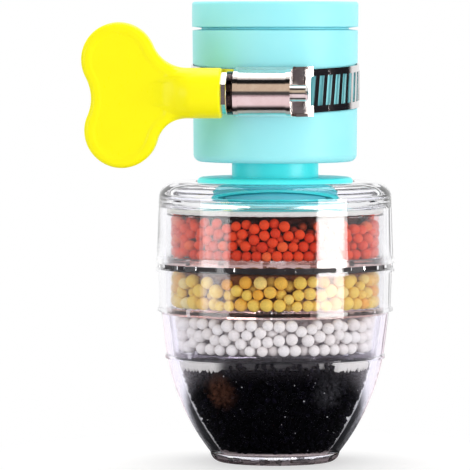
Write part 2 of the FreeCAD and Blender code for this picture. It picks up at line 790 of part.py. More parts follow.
def cut_slots(body, name, first, count, depth):
    """Pierce a row of leaning slots, from outside the band inwards."""
    plane_distance = "tail_outer_radius + band_thickness"
    turn = f"({first}) * slot_angle"
    sketch = new_sketch(body, f"{name}_outline", "XZ_Plane")
    sketch.AttachmentOffset = FreeCAD.Placement(FreeCAD.Vector(), FreeCAD.Rotation(FreeCAD.Vector(0, 1, 0), 1))
    sketch.setExpression("AttachmentOffset.Rotation.Angle", bound(turn))
    sketch.setExpression("AttachmentOffset.Base.x", bound(f"({plane_distance}) * sin({turn})"))
    sketch.setExpression("AttachmentOffset.Base.z", bound(f"({plane_distance}) * cos({turn})"))
    draw_outline(sketch, [
        ("-slot_width / 2 - slot_shift", "-slot_height / 2"),
        ("slot_width / 2 - slot_shift", "-slot_height / 2"),
        ("slot_width / 2 + slot_shift", "slot_height / 2"),
        ("-slot_width / 2 + slot_shift", "slot_height / 2"),
    ])
    slot = extrude(body, name, sketch, depth, cut=True)
    repeat_round(body, f"{name}_row", slot, count, f"({count} - 1) * slot_angle")


def make_clamp_band():
    """One steel strip: a plain end under the screw, a full turn round the sleeve, a ramp over the saddle,
    and a slotted tail between the saddle and the worm."""
    body = new_body("clamp_band")
    left, back = "-90", "-200"
    ramp_start, ramp_end = "band_ramp_start - 360", "band_ramp_end - 360"
    tail_end = "-band_tail_end - 360"
    inner, outer = "band_inner_radius", "band_outer_radius"
    tail_in, tail_out = "tail_inner_radius", "tail_outer_radius"
    sketch = draw_outline(new_sketch(body, "band_outline", "XY_Plane"), [
        (*polar(inner, "band_plain_end"), {"bow": f"-{inner}"}),
        (*polar(inner, left), {"bow": f"-{inner}"}),
        (*polar(inner, back), {"bow": f"-{inner}"}),
        (*polar(inner, ramp_start),),
        (*polar(tail_in, ramp_end), {"bow": f"-{tail_in}"}),
        (*polar(tail_in, tail_end),),
        (*polar(tail_out, tail_end), {"bow": tail_out}),
        (*polar(tail_out, ramp_end),),
        (*polar(outer, ramp_start), {"bow": outer}),
        (*polar(outer, back), {"bow": outer}),
        (*polar(outer, left), {"bow": outer}),
        (*polar(outer, "band_plain_end"),),
    ])
    extrude(body, "band_strip", sketch, "band_width", symmetric=True)
    over_saddle = "2 * band_thickness + tail_gap / 2"
    through = "tail_outer_radius - band_inner_radius + 2 * band_thickness"
    cut_slots(body, "tail_slots", "2 - slots_under_screw", "slots_under_screw", over_saddle)
    cut_slots(body, "band_slots", "2", "slots_round_sleeve", through)
    return on_clamp(body)


def make_clamp_housing():
    """The pressed housing: an arched barrel over the screw with raised rims and end walls, legs that
    straddle the band, and a saddle under the tail with lugs round the band's edges."""
    body = new_body("clamp_housing")
    inner_radius = "housing_radius - housing_wall"
    axis = "-screw_offset"
    flare_top = f"{axis} + leg_flare_drop"
    flare_foot = f"{axis} + leg_flare_drop + leg_flare_run"
    leg_foot = "leg_reach_in - band_inner_radius"
    sketch = draw_outline(new_sketch(body, "arch_outline", "YZ_Plane", "-housing_left"), [
        (f"{axis}", "housing_radius", {"bow": "housing_radius"}),
        (f"{axis} - housing_radius", "0", {"bow": "housing_radius"}),
        (f"{axis}", "-housing_radius"),
        (flare_top, "-housing_radius"),
        (flare_foot, "-leg_outer"),
        (leg_foot, "-leg_outer"),
        (leg_foot, "-leg_inner"),
        (flare_foot, "-leg_inner"),
        (flare_top, f"-({inner_radius})"),
        (f"{axis}", f"-({inner_radius})", {"bow": f"-({inner_radius})"}),
        (f"{axis} - ({inner_radius})", "0", {"bow": f"-({inner_radius})"}),
        (f"{axis}", inner_radius),
        (flare_top, inner_radius),
        (flare_foot, "leg_inner"),
        (leg_foot, "leg_inner"),
        (leg_foot, "leg_outer"),
        (flare_foot, "leg_outer"),
        (flare_top, "housing_radius"),
    ])
    extrude(body, "arch", sketch, "housing_left + housing_right")
    rim_outer, rim_inner = "housing_radius + rim_height", "housing_radius - housing_wall / 2"
    for name, place in (("left_rim", "-housing_left"), ("right_rim", "housing_right - rim_width")):
        sketch = draw_outline(new_sketch(body, f"{name}_outline", "YZ_Plane", place), [
            (axis, rim_outer, {"bow": rim_outer}),
            (f"{axis} - ({rim_outer})", "0", {"bow": rim_outer}),
            (axis, f"-({rim_outer})"),
            (axis, f"-({rim_inner})", {"bow": f"-({rim_inner})"}),
            (f"{axis} - ({rim_inner})", "0", {"bow": f"-({rim_inner})"}),
            (axis, rim_inner),
        ])
        extrude(body, name, sketch, "rim_width")
    end_walls = (
        ("left_wall", "-housing_left", "journal_radius + journal_clearance"),
        ("right_wall", "housing_right - end_wall", "pilot_radius + journal_clearance"),
    )
    for name, place, hole in end_walls:
        sketch = new_sketch(body, f"{name}_outline", "YZ_Plane", place)
        draw_circle(sketch, "housing_radius - housing_wall / 2", axis)
        draw_circle(sketch, hole, axis)
        extrude(body, name, sketch, "end_wall")
    sketch = new_sketch(body, "sleeve_room_outline", "XY_Plane")
    draw_circle(sketch, "saddle_radius")
    extrude(body, "sleeve_room", sketch, "3 * leg_outer", symmetric=True, cut=True)
    lug_top = "saddle_top_radius + lug_height"
    sectors = (
        ("saddle", "-saddle_left_angle", "saddle_radius", "saddle_top_radius", "2 * leg_outer", False),
        ("lug_block", "lug_start_angle", "saddle_radius", lug_top, "2 * leg_outer", False),
        ("lug_room", "lug_start_angle - lug_side_room", "saddle_top_radius", f"{lug_top} + lug_side_room",
         "2 * leg_inner", True),
    )
    for name, start, low, high, width, cut in sectors:
        end = "saddle_right_angle + lug_side_room" if cut else "saddle_right_angle"
        sketch = draw_outline(new_sketch(body, f"{name}_outline", "XY_Plane"), [
            (*polar(low, start), {"bow": low}),
            (*polar(low, end),),
            (*polar(high, end), {"bow": f"-({high})"}),
            (*polar(high, start),),
        ])
        extrude(body, name, sketch, width, symmetric=True, cut=cut)
    return on_clamp(body)


def draw_hexagon(sketch, corner, centre):
    """Draw a hexagon with a corner up, from its corner radius."""
    turns = range(0, 360, 60)
    draw_outline(sketch, [(f"{centre} + ({corner}) * sin({a})", f"({corner}) * cos({a})") for a in turns])


def make_clamp_screw():
    """The worm screw: pilot tip, threaded worm, journal, washer head and hex."""
    body = new_body("clamp_screw")
    revolve(body, "screw_form", [
        ("-washer_left", "0"),
        ("-washer_left", "washer_radius", {"round": "washer_round"}),
        ("-washer_right", "washer_radius", {"round": "washer_round"}),
        ("-washer_right", "journal_radius"),
        ("-worm_start", "journal_radius"),
        ("-worm_start", "worm_root_radius"),
        ("worm_end", "worm_root_radius"),
        ("worm_end", "pilot_radius"),
        ("pilot_end - pilot_chamfer", "pilot_radius"),
        ("pilot_end", "pilot_radius - pilot_chamfer"),
        ("pilot_end", "0"),
    ], axis="H_Axis", offset="screw_offset")
    sketch = new_sketch(body, "hex_outline", "YZ_Plane", "-washer_right")
    draw_hexagon(sketch, "hex_corner", "-screw_offset")
    extrude(body, "hex", sketch, "washer_height + hex_length", backwards=True)
    sketch = new_sketch(body, "thread_outline", "XZ_Plane", "screw_offset")
    middle = "thread_end_gap - worm_start"
    root = "worm_root_radius - thread_root_sink"
    draw_outline(sketch, [
        (f"{middle} - worm_foot_width / 2", root),
        (f"{middle} + worm_foot_width / 2", root),
        (f"{middle} + worm_crest_width / 2", "worm_radius"),
        (f"{middle} - worm_crest_width / 2", "worm_radius"),
    ])
    thread = body.newObject("PartDesign::AdditiveHelix", "thread")
    thread.Profile = sketch
    thread.ReferenceAxis = (sketch, ["H_Axis"])
    thread.Mode = "pitch-turns-angle"
    thread.setExpression("Pitch", bound("worm_pitch"))
    thread.setExpression("Turns", bound("worm_turns"))
    sketch.Visibility = False
    return on_clamp(body)


def make_wing():
    """The key's flat wing: two round lobes with a notch between them, flaring from the barrel."""
    body = new_body("wing")
    sketch = new_sketch(body, "wing_outline", "XZ_Plane")
    sketch.AttachmentOffset = FreeCAD.Placement(FreeCAD.Vector(), FreeCAD.Rotation(FreeCAD.Vector(0, 0, 1), 1))
    sketch.setExpression("AttachmentOffset.Rotation.Angle", bound("wing_droop"))
    sketch.setExpression("AttachmentOffset.Base.x", bound("-wing_origin"))
    sketch.setExpression("AttachmentOffset.Base.z", bound("screw_offset"))
    flare_x = "-lobe_reach + lobe_radius * sin(flare_angle)"
    flare_y = "lobe_offset + lobe_radius * cos(flare_angle)"
    root_y = "key_barrel_radius - wing_root_sink"
    root_x = f"{flare_x} + ({flare_y} - ({root_y})) / tan(flare_angle)"
    notch_x = "-lobe_reach - notch_run * lobe_radius / (lobe_radius + wing_notch_round)"
    notch_y = "lobe_offset * wing_notch_round / (lobe_radius + wing_notch_round)"
    outer_x = "-lobe_reach - lobe_radius"
    top_y = "lobe_offset + lobe_radius"
    draw_outline(sketch, [
        ("wing_root", root_y),
        (root_x, root_y, {"round": "flare_round"}),
        (flare_x, flare_y, {"bow": "lobe_radius"}),
        ("-lobe_reach", top_y, {"bow": "lobe_radius"}),
        (outer_x, "lobe_offset", {"bow": "lobe_radius"}),
        (notch_x, notch_y, {"bow": "-wing_notch_round"}),
        (notch_x, f"-{notch_y}", {"bow": "lobe_radius"}),
        (outer_x, "-lobe_offset", {"bow": "lobe_radius"}),
        ("-lobe_reach", f"-({top_y})", {"bow": "lobe_radius"}),
        (flare_x, f"-({flare_y})"),
        (root_x, f"-({root_y})", {"round": "flare_round"}),
        ("wing_root", f"-({root_y})"),
    ])
    plate = extrude(body, "wing_plate", sketch, "wing_thickness", symmetric=True)
    doc.recompute()
    rim = []
    for number, edge in enumerate(plate.Shape.Edges, start=1):
        span = edge.BoundBox
        if span.YLength < 0.01 and abs(abs(span.YMin + value("screw_offset")) - value("wing_thickness") / 2) < 0.01:
            rim.append(f"Edge{number}")
    edge_round = body.newObject("PartDesign::Fillet", "wing_edges")
    edge_round.Base = (plate, rim)
    edge_round.setExpression("Radius", bound("wing_edge_round"))
    return body


def make_thumb_key():
    """The key: a round barrel with a hex socket, and the wing."""
    far = "key_mouth + key_barrel_length"
    barrel = new_body("key_barrel")
    revolve(barrel, "barrel_form", [
        ("-key_mouth", "0"),
        ("-key_mouth", "key_barrel_radius", {"round": "key_edge_round"}),
        (f"-({far} - key_barrel_nose)", "key_barrel_radius", {"bow": "2 * key_barrel_radius"}),
        (f"-({far})", "wing_thickness / 2"),
        (f"-({far})", "0"),
    ], axis="H_Axis", offset="screw_offset")
    socket = new_body("key_socket")
    sketch = new_sketch(socket, "socket_outline", "YZ_Plane", "-hex_end")
    draw_hexagon(sketch, "socket_corner", "-screw_offset")
    extrude(socket, "socket_form", sketch, "2 * hex_length")
    solid_key = doc.addObject("Part::Fuse", "solid_key")
    solid_key.Base = barrel
    solid_key.Tool = make_wing()
    key = doc.addObject("Part::Cut", "thumb_key")
    key.Base = solid_key
    key.Tool = socket
    return on_clamp(key)


def make_all():
    """Make every piece of the filter."""
    return [
        make_bowl(),
        make_filling("outlet_screen", "floor_thickness", "screen_thickness"),
        make_carbon_bed(),
        make_filling("carbon_top_pad", "carbon_top", "carbon_pad_thickness"),
        make_tray("white_tray", "white_level", "white_tray_height",
                  "(middle_bore_foot - tray_gap)", "(middle_bore_head - tray_gap)"),
        make_bead_bed("white_bed", "white_level", "white_depth",
                      "(middle_bore_foot - tray_gap)", "(middle_bore_head - tray_gap)"),
        make_tray("yellow_tray", "yellow_level", "yellow_tray_height", "upper_tray_radius", "upper_tray_radius"),
        make_bead_bed("yellow_bed", "yellow_level", "yellow_depth", "upper_tray_radius", "upper_tray_radius"),
        make_tray("red_tray", "red_level", "red_tray_height", "upper_tray_radius", "upper_tray_radius"),
        make_bead_bed("red_bed", "red_level", "red_depth", "upper_tray_radius", "upper_tray_radius"),
        disc("top_pad", "upper_tray_radius", "top_pad_level", "top_pad_thickness"),
        ring("cover_seal", "seal_room_radius - seal_clearance", "spigot_radius", "flange_level",
             "window_band_height - seal_head_gap"),
        make_top_cover(),
        make_connector(),
        make_connector_nut(),
        make_connector_seal(),
        ring("tap_seal", "head_radius", "tap_seal_bore", "head_top", "tap_seal_height"),
        make_sleeve(),
        make_clamp_band(),
        make_clamp_housing(),
        make_clamp_screw(),
        make_thumb_key(),
    ]


def check(pieces):
    """Stop if any object failed, or any piece isn't one or more sound solids."""
    for thing in doc.Objects:
        if "Invalid" in thing.State or "Error" in thing.State:
            raise RuntimeError(f"{thing.Name} failed: {thing.getStatusString()}")
    for piece in pieces:
        shape = piece.Shape
        if shape.isNull() or not shape.isValid() or len(shape.Solids) != 1:
            raise RuntimeError(f"{piece.Label} is not one sound solid")


fill_sheet()
pieces = make_all()
doc.recompute()
check(pieces)
os.makedirs("parts", exist_ok=True)
for piece in pieces:
    piece.Shape.exportStep(os.path.join("parts", f"{piece.Label}.step"))
    print(f"{piece.Label}: {piece.Shape.Volume:.1f} cubic mm")
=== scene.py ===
import math

import bmesh
import bpy
import numpy as np
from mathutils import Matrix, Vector


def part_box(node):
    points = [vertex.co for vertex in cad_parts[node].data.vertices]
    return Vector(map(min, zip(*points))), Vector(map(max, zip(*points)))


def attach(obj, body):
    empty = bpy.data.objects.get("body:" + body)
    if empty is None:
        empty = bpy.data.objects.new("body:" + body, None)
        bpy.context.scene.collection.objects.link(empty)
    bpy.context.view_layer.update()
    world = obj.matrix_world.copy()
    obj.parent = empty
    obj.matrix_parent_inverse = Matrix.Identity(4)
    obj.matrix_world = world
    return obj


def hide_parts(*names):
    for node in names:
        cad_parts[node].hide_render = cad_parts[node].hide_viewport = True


# A tap water filter: soft sleeve, worm-drive clamp with a thumb key, and a clear housing whose bead beds and
# carbon are built here grain by grain. Sizes are in millimetres unless a name or a comment says otherwise.
MM = 0.001
FULL_TURN = 2 * math.pi
NEAR_AXIS = 0.01
WHITE = (1, 1, 1)

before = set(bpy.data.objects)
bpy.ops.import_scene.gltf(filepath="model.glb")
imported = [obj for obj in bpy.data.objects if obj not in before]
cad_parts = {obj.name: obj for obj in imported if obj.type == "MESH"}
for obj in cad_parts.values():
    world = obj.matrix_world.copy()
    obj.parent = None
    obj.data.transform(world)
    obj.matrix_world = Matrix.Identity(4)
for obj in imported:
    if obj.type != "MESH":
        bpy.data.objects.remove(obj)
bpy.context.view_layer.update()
scene = bpy.context.scene


# Mesh helpers


def level(node):
    """Lowest and highest Z of a CAD node, in millimetres."""
    low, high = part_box(node)
    return low.z / MM, high.z / MM


def wall_of(node):
    """Outer radius of a round CAD node, in millimetres."""
    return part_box(node)[1].x / MM


def add_mesh(name, points, faces, material, smooth=True):
    """Make an object from points in millimetres and faces that all have the same number of corners."""
    points, faces = np.asarray(points, float) * MM, np.asarray(faces, np.int32)
    corners = faces.shape[1]
    mesh = bpy.data.meshes.new(name)
    mesh.vertices.add(len(points))
    mesh.vertices.foreach_set("co", points.astype(np.float32).ravel())
    mesh.loops.add(faces.size)
    mesh.loops.foreach_set("vertex_index", faces.ravel())
    mesh.polygons.add(len(faces))
    mesh.polygons.foreach_set("loop_start", np.arange(0, faces.size, corners, dtype=np.int32))
    mesh.update(calc_edges=True)
    mesh.polygons.foreach_set("use_smooth", np.full(len(faces), smooth))
    mesh.validate()
    thing = bpy.data.objects.new(name, mesh)
    scene.collection.objects.link(thing)
    mesh.materials.append(material)
    return thing


def around(reach, turn, height):
    """Points at these distances from the housing's axis, bearings in radians and heights."""
    return np.stack([reach * np.cos(turn), reach * np.sin(turn), height], -1)


def ball_form(subdivisions):
    """Points and triangles of a ball of radius 1."""
    form = bmesh.new()
    bmesh.ops.create_icosphere(form, subdivisions=subdivisions, radius=1.0)
    points = np.array([v.co for v in form.verts], float)
    faces = np.array([[v.index for v in f.verts] for f in form.faces], np.int32)
    form.free()
    return points, faces


def repeat_faces(faces, copies, points_each, start=0):
    """The faces of a form's copies, whose points follow one another from the start."""
    steps = np.arange(copies, dtype=np.int32)[:, None, None] * points_each + start
    return (faces[None] + steps).reshape(-1, faces.shape[1])


def scatter(form, places, shapes):
    """Copy a form to each place, each copy turned and stretched by its own 3 by 3 matrix."""
    points, faces = form
    copies = np.einsum("nij,pj->npi", shapes, points) + places[:, None, :]
    return copies.reshape(-1, 3), repeat_faces(faces, len(places), len(points))


def random_turns(rng, count):
    """Random rotation matrices."""
    q = rng.normal(size=(count, 4))
    w, x, y, z = (q / np.linalg.norm(q, axis=1)[:, None]).T
    return np.stack([
        np.stack([1 - 2 * (y * y + z * z), 2 * (x * y - z * w), 2 * (x * z + y * w)], -1),
        np.stack([2 * (x * y + z * w), 1 - 2 * (x * x + z * z), 2 * (y * z - x * w)], -1),
        np.stack([2 * (x * z - y * w), 2 * (y * z + x * w), 1 - 2 * (x * x + y * y)], -1),
    ], 1)


def lathe(rings, segments):
    """Points and quads of a closed round form from (radius, height) rings, from the axis to the axis."""
    turns = np.linspace(0, FULL_TURN, segments, endpoint=False)
    points = [(r * math.cos(a), r * math.sin(a), z) for r, z in rings for a in turns]
    faces = []
    for i in range(len(rings) - 1):
        for j in range(segments):
            k = (j + 1) % segments
            faces.append((i * segments + j, i * segments + k, (i + 1) * segments + k, (i + 1) * segments + j))
    return np.array(points), np.array(faces)


def heap_form(rings, segments, swell, waves, twist):
    """Points and triangles of a round heap whose side ripples: swell is a share of its radius."""
    points, quads = lathe(rings, segments)
    turn = np.arctan2(points[:, 1], points[:, 0])
    points[:, :2] *= (1 + swell * np.sin(turn * waves + points[:, 2] * twist))[:, None]
    return points, np.concatenate([quads[:, [0, 1, 2]], quads[:, [0, 2, 3]]])


def stand_in(thing, node, body="filter"):
    """Put a new piece on its body in place of its CAD node."""
    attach(thing, body)
    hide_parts(node)
    return thing


# Materials


class Shading:
    """A material's node graph, built one node at a time."""

    def __init__(self, name=None, world=None):
        self.material = world or bpy.data.materials.new(name)
        self.material.use_nodes = True
        self.tree = self.material.node_tree
        self.tree.nodes.clear()
        self.output = self.tree.nodes.new("ShaderNodeOutputWorld" if world else "ShaderNodeOutputMaterial")
        self.place = self.node("ShaderNodeTexCoord").outputs["Object"]

    def node(self, kind, inputs=None, **settings):
        """Add a node. An input that is a socket is linked, and any other is set."""
        made = self.tree.nodes.new(kind)
        for name, setting in settings.items():
            setattr(made, name, setting)
        for name, given in (inputs or {}).items():
            if isinstance(given, bpy.types.NodeSocket):
                self.tree.links.new(given, made.inputs[name])
            else:
                made.inputs[name].default_value = given
        return made

    def math(self, operation, one, two=None):
        inputs = {0: one} if two is None else {0: one, 1: two}
        return self.node("ShaderNodeMath", inputs, operation=operation).outputs[0]

    def remap(self, measure, low, high, first=0.0, last=1.0):
        """A measure taken from one range to another."""
        inputs = {0: measure, 1: low, 2: high, 3: first, 4: last}
        return self.node("ShaderNodeMapRange", inputs).outputs[0]

    def spread(self, measure, low, high):
        """A measure as a smooth share from 0 to 1 between two limits in millimetres."""
        inputs = {0: measure, 1: low * MM, 2: high * MM}
        return self.node("ShaderNodeMapRange", inputs, interpolation_type="SMOOTHSTEP").outputs[0]

    def distance(self, centre=(0, 0, 0), along=(1, 1, 1)):
        """How far a point is from a place in millimetres, along some of the axes."""
        centre = [c * MM for c in centre]
        moved = self.node("ShaderNodeVectorMath", {0: self.place, 1: centre}, operation="SUBTRACT")
        kept = self.node("ShaderNodeVectorMath", {0: moved.outputs[0], 1: along}, operation="MULTIPLY")
        return self.node("ShaderNodeVectorMath", {0: kept.outputs[0]}, operation="LENGTH").outputs["Value"]

    def noise(self, per_mm, detail=3.0, rough=0.5, stretch=None):
        """Noise with so many lumps to a millimetre."""
        place = self.place
        if stretch:
            place = self.node("ShaderNodeMapping", {"Vector": place, "Scale": stretch}).outputs[0]
        inputs = {"Vector": place, "Scale": per_mm / MM, "Detail": detail, "Roughness": rough}
        return self.node("ShaderNodeTexNoise", inputs).outputs["Fac"]

    def ramp(self, factor, *stops):
        """A colour ramp: each stop is (position, grey) or (position, red, green, blue)."""
        made = self.node("ShaderNodeValToRGB", {"Fac": factor})
        band = made.color_ramp.elements
        while len(band) < len(stops):
            band.new(0.5)
        for element, (place, *colour) in zip(band, stops):
            element.position = place
            element.color = (*colour, 1) if len(colour) == 3 else (colour[0], colour[0], colour[0], 1)
        return made.outputs["Color"]

    def mix(self, factor, one, two, blend="MIX"):
        """Two colours by a share. A colour given as numbers is (red, green, blue)."""
        one, two = [(*c, 1) if isinstance(c, tuple) else c for c in (one, two)]
        inputs = {0: factor, 6: one, 7: two}
        return self.node("ShaderNodeMix", inputs, data_type="RGBA", blend_type=blend).outputs[2]

    def bump(self, height, depth):
        inputs = {"Height": height, "Distance": depth * MM, "Strength": 1.0}
        return self.node("ShaderNodeBump", inputs).outputs["Normal"]

    def ray(self, kind):
        """What kind of ray asks for the colour, or how many turns it has made."""
        return self.node("ShaderNodeLightPath").outputs[kind]

    def past_first(self, depth):
        """Whether a ray has already been mirrored or let through once."""
        return self.math("GREATER_THAN", self.ray(depth), 0.5)

    def either(self, factor, one, two):
        """Two shaders by a share."""
        return self.node("ShaderNodeMixShader", {0: factor, 1: one, 2: two}).outputs[0]

    def plastic(self, **inputs):
        named = {name.replace("_", " "): given for name, given in inputs.items()}
        return self.node("ShaderNodeBsdfPrincipled", named).outputs[0]

    def clear(self, tint):
        """A shader that lets light straight through, tinted."""
        return self.node("ShaderNodeBsdfTransparent", {"Color": (*tint, 1)}).outputs[0]

    def finish(self, shader):
        self.tree.links.new(shader, self.output.inputs["Surface"])
        return self.material


def level_faces(s):
    """1 on faces that lie level, which beads, felt and water touch, and 0 elsewhere."""
    normal = s.node("ShaderNodeNewGeometry").outputs["True Normal"]
    rise = s.node("ShaderNodeSeparateXYZ", {0: normal}).outputs[2]
    return s.math("GREATER_THAN", s.math("ABSOLUTE", rise), 0.8)


def round_tail(s):
    """1 in the lid's hole, which is greased for the connector's tail."""
    return s.spread(s.distance(along=(1, 1, 0)), 10.9, 10.6)


def inner_ledges(s):
    """1 on the bowl's ledges under its trays, above the cavity's floor."""
    inside = s.spread(s.distance(along=(1, 1, 0)), 25.9, 25.6)
    above_floor = s.spread(s.distance(along=(0, 0, 1)), 12.0, 14.0)
    return s.math("MULTIPLY", s.math("MULTIPLY", inside, above_floor), level_faces(s))


def clear_plastic(name, tint, wetted, bending=1.49, foot=None, painted_shade_tint=None, dull=None):
    """Clear moulded plastic that lets lamps and soft fill in to what it holds. Faces that are wetted, as by grease
    or water, don't bend light. A tray's floor takes a painted tint of shade and reflected bead colour over its
    lowest 1.5 mm, up from its foot. Below the heights in dull the gloss falls away."""
    s = Shading(name)
    flow = s.noise(0.12, 2.0)
    scuffs = s.ramp(s.noise(1.4, 6.0, 0.7), (0.55, 0.02), (0.75, 0.08))
    colour = s.mix(flow, tint, tuple(c * 0.985 for c in tint))
    # Painted shade and reflection: the tray floor's lowest 1.5 mm is tinted
    if painted_shade_tint:
        colour = s.mix(s.spread(s.distance((0, 0, foot), (0, 0, 1)), 1.75, 1.45), colour, painted_shade_tint)
    gloss = (*WHITE, 1)
    if dull:
        gloss = s.mix(s.spread(s.distance(along=(0, 0, 1)), *dull), (0.3, 0.3, 0.32), WHITE)
    body = s.plastic(
        Base_Color=colour,
        Transmission_Weight=1.0,
        Specular_Tint=gloss,
        IOR=s.remap(wetted(s), 0.0, 1.0, bending, 1.0),
        Roughness=scuffs,
        Normal=s.bump(flow, 0.02),
    )
    through = s.clear((0.985, 0.985, 0.99))
    lamps_in = s.either(s.ray("Is Shadow Ray"), body, through)
    return s.finish(s.either(s.ray("Is Diffuse Ray"), lamps_in, through))


def bead_material(name, common, deep, rare, gap, node):
    """Matt porous beads with their own tones, in a bed with painted shade in its gaps, deepest away from its wall."""
    s = Shading(name)
    own = s.node("ShaderNodeNewGeometry").outputs["Random Per Island"]
    shade = s.ramp(own, (0.0, *deep), (0.45, *common), (0.85, *common), (1.0, *rare))
    grain = s.noise(3.5, 4.0, 0.65)
    speck = s.ramp(grain, (0.3, 0.78), (0.6, 1.0))
    wall, gap_depth, face_depth = wall_of(node), 3.9, 1.3
    # Painted shade: beads and heap fade to the gap colour deeper behind the wall, in place of the shade between beads
    near_wall = s.spread(s.distance(along=(1, 1, 0)), wall - gap_depth, wall - face_depth)
    return s.finish(s.plastic(
        Base_Color=s.mix(near_wall, gap, s.mix(1.0, shade, speck, "MULTIPLY")),
        Roughness=s.ramp(grain, (0.3, 0.6), (0.7, 0.8)),
        Normal=s.bump(grain, 0.05),
        Specular_IOR_Level=0.3,
    ))


def carbon_material():
    """Black grains with painted glints as bright specks, and with a warm and a pale patch in front."""
    s = Shading("carbon_grains")
    own = s.node("ShaderNodeNewGeometry").outputs["Random Per Island"]
    shade = s.ramp(own, (0.0, 0.0010, 0.0010, 0.0020), (0.8, 0.0020, 0.0018, 0.0045), (1.0, 0.008, 0.007, 0.014))
    grain = s.noise(4.0, 5.0, 0.7)
    # A warm and a pale patch in front
    warm_patch = s.spread(s.distance((-11.0, -17.5, 18.5)), 5.5, 1.5)
    pale_patch = s.spread(s.distance((13.5, -15.0, 18.5)), 5.5, 1.0)
    patched = s.mix(warm_patch, shade, (0.085, 0.034, 0.020))
    patched = s.mix(pale_patch, patched, (0.045, 0.045, 0.052))
    # Painted glints: a few tiny cells take a pale base colour in place of sparkle off the grains' facets
    cells = s.node("ShaderNodeTexVoronoi", {"Vector": s.place, "Scale": 900.0})
    speck = s.ramp(cells.outputs["Distance"], (0.13, 1.0), (0.18, 0.0))
    chosen = s.ramp(cells.outputs["Color"], (0.80, 0.0), (0.83, 1.0))
    painted_glints = s.mix(1.0, speck, chosen, "MULTIPLY")
    body = s.mix(1.0, patched, s.ramp(grain, (0.3, 0.6), (0.7, 1.0)), "MULTIPLY")
    return s.finish(s.plastic(
        Base_Color=s.mix(painted_glints, body, (0.75, 0.75, 0.80)),
        Roughness=s.ramp(own, (0.0, 0.8), (0.86, 0.65), (0.93, 0.35), (1.0, 0.2)),
        Normal=s.bump(grain, 0.06),
        Specular_IOR_Level=0.04,
    ))


def felt_material(name, darkening):
    """White fibre felt. By a share from 0 to 1 it is darkened on its level faces and in a band across its middle,
    in front and behind."""
    s = Shading(name)
    fibre = s.noise(5.0, 6.0, 0.75)
    tone = s.mix(s.noise(0.6, 3.0), (0.90, 0.885, 0.87), (0.80, 0.78, 0.76))
    # Darkening: level faces and a band across the middle fade towards near-black
    middle = s.spread(s.distance((0.7, 0, 0), (1, 0, 0)), 13.5, 10.0)
    darkened = s.math("MULTIPLY", s.math("MAXIMUM", middle, level_faces(s)), darkening)
    tone = s.mix(darkened, tone, (0.010, 0.009, 0.013))
    return s.finish(s.plastic(
        Base_Color=s.mix(1.0, tone, s.ramp(fibre, (0.3, 0.75), (0.6, 1.0)), "MULTIPLY"),
        Roughness=s.ramp(fibre, (0.0, 0.85), (1.0, 0.98)),
        Normal=s.bump(fibre, 0.15),
        Sheen_Weight=0.3,
    ))


def mesh_material():
    """Fine woven screen."""
    s = Shading("woven_screen")
    threads = []
    for direction in ("X", "Y"):
        inputs = {"Vector": s.place, "Scale": 1100.0}
        threads.append(s.node("ShaderNodeTexWave", inputs, bands_direction=direction).outputs["Fac"])
    weave = s.math("MAXIMUM", *threads)
    return s.finish(s.plastic(
        Base_Color=s.ramp(weave, (0.2, 0.30, 0.22, 0.24), (0.7, 0.75, 0.62, 0.64)),
        Roughness=s.ramp(weave, (0.0, 0.6), (1.0, 0.4)),
        Normal=s.bump(weave, 0.08),
    ))


def silicone_material(name, pale, deep, roughness):
    """Soft satin rubber with faint clouds and a fine skin."""
    s = Shading(name)
    cloud = s.noise(0.08, 3.0)
    skin = s.noise(1.6, 5.0, 0.6)
    return s.finish(s.plastic(
        Base_Color=s.mix(s.ramp(cloud, (0.35, 0.0), (0.7, 1.0)), pale, deep),
        Roughness=s.ramp(skin, (0.3, roughness - 0.06), (0.7, roughness + 0.06)),
        Normal=s.bump(skin, 0.012),
        Specular_IOR_Level=0.3,
        Subsurface_Weight=0.15,
        Subsurface_Radius=(0.6, 1.0, 1.0),
        Subsurface_Scale=0.0015,
    ))


def gloss_material(name, colour, worn, roughness, gloss=0.5, light_through=0.0):
    """Moulded plastic with faint flow clouds and fine scuffs. A share of the light on it passes on, tinted blue."""
    s = Shading(name)
    cloud = s.noise(0.15, 4.0)
    scuff = s.noise(2.2, 7.0, 0.7, (1.0, 1.0, 0.3))
    body = s.plastic(
        Base_Color=s.mix(s.ramp(cloud, (0.4, 0.0), (0.75, 1.0)), colour, worn),
        Roughness=s.ramp(scuff, (0.35, roughness), (0.75, roughness + 0.18)),
        Normal=s.bump(scuff, 0.006),
        Specular_IOR_Level=gloss,
    )
    if not light_through:
        return s.finish(body)
    lit = s.math("MAXIMUM", s.ray("Is Shadow Ray"), s.ray("Is Diffuse Ray"))
    return s.finish(s.either(s.math("MULTIPLY", lit, light_through), body, s.clear((0.45, 0.95, 1.0))))


def steel_material(name, bright, dull, roughness, stretch, stained=None):
    """Bright steel with rolling or turning marks along one direction, and dark grime between two places on X."""
    s = Shading(name)
    marks = s.noise(4.0, 6.0, 0.65, stretch)
    patch = s.noise(0.35, 5.0, 0.6)
    colour = s.mix(s.ramp(patch, (0.35, 0.0), (0.7, 1.0)), bright, dull)
    if stained:
        left, right = stained
        middle, half = (left + right) / 2, (right - left) / 2
        grime = s.ramp(s.noise(3.0, 4.0, 0.7), (0.5, 0.02, 0.016, 0.018), (0.75, 0.22, 0.14, 0.10))
        colour = s.mix(s.spread(s.distance((middle, 0, 0), (1, 0, 0)), half + 0.15, half), colour, grime)
    return s.finish(s.plastic(
        Base_Color=colour,
        Metallic=1.0,
        Roughness=s.ramp(marks, (0.3, roughness), (0.75, roughness + 0.10)),
        Normal=s.bump(marks, 0.005),
    ))


